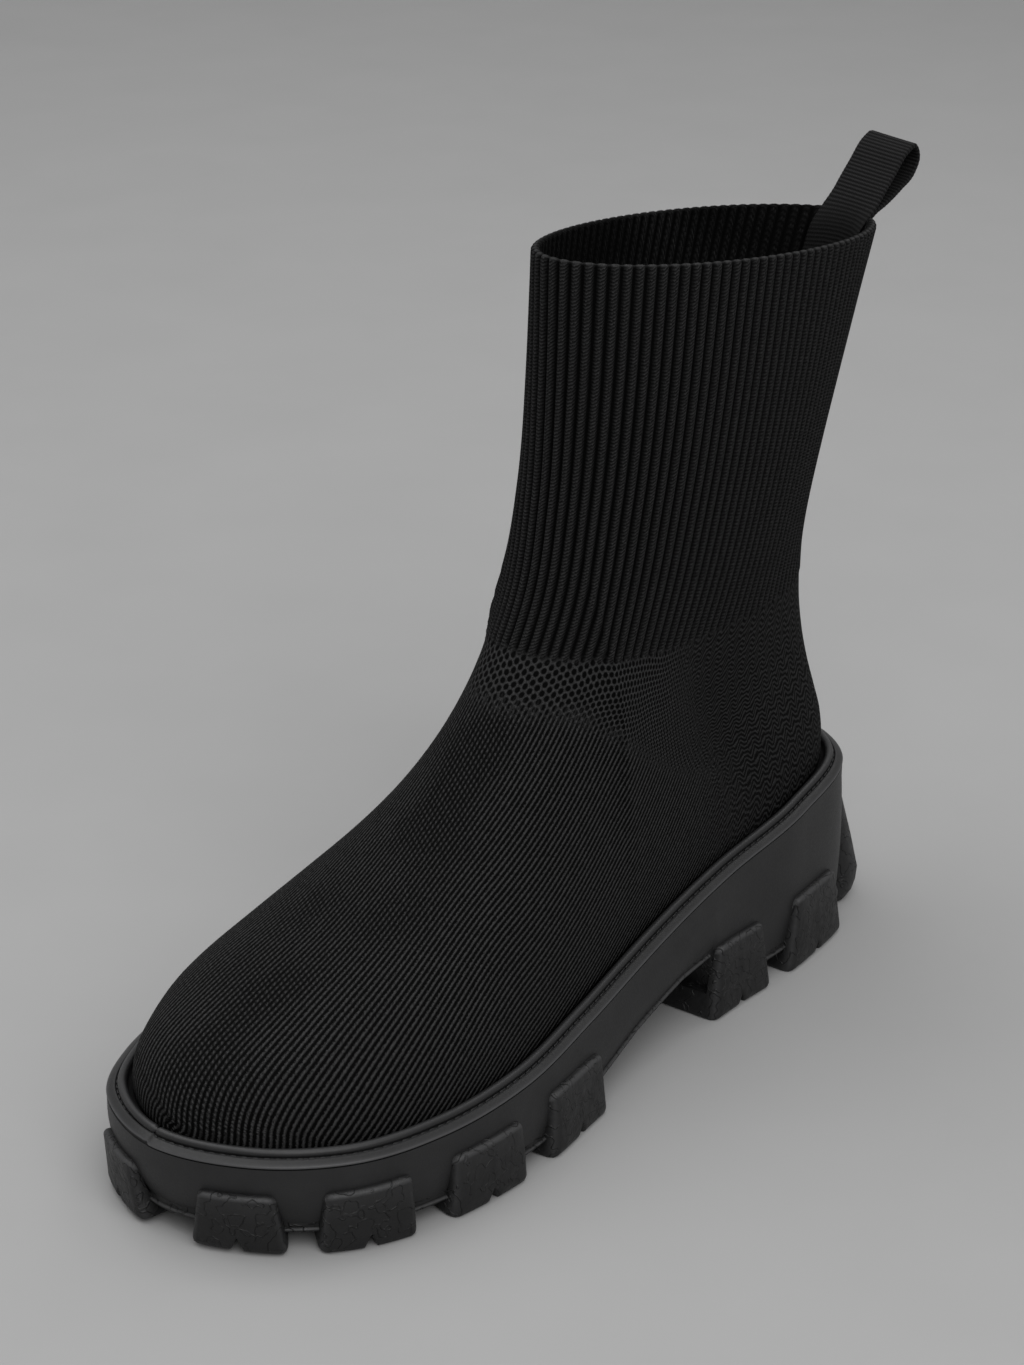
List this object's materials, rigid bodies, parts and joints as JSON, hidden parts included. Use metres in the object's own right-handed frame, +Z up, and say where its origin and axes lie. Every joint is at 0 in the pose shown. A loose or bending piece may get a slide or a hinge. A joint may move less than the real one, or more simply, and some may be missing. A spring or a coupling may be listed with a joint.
{
  "type": "stretch boot",
  "caption": "Knitted sock boot for the left foot: ribbed stretch shaft, close-fitting foot and back pull loop on a raised platform sole with a stitched welt and chunky side lugs.",
  "frame": {"origin": "bottom centre of the whole boot's bounding box, on the floor under the lugs", "axes": "+X towards the toe, +Y towards the outer (lateral) side, +Z up"},
  "size_m": [0.3151, 0.111, 0.2368],
  "materials": {
    "knit": "matt black stretch knit, ribbed on the shaft",
    "sole_rubber": "dark grey moulded rubber, satin-matt",
    "tread_rubber": "dark grey moulded rubber with a fine grain",
    "insole_cloth": "matt black cloth",
    "webbing": "black grosgrain webbing"
  },
  "bodies": {
    "root": {"upper": "knit", "welt": "sole_rubber", "midsole": "sole_rubber", "outsole": "tread_rubber", "insole": "insole_cloth", "pull_loop": "webbing"}
  },
  "joints": []
}
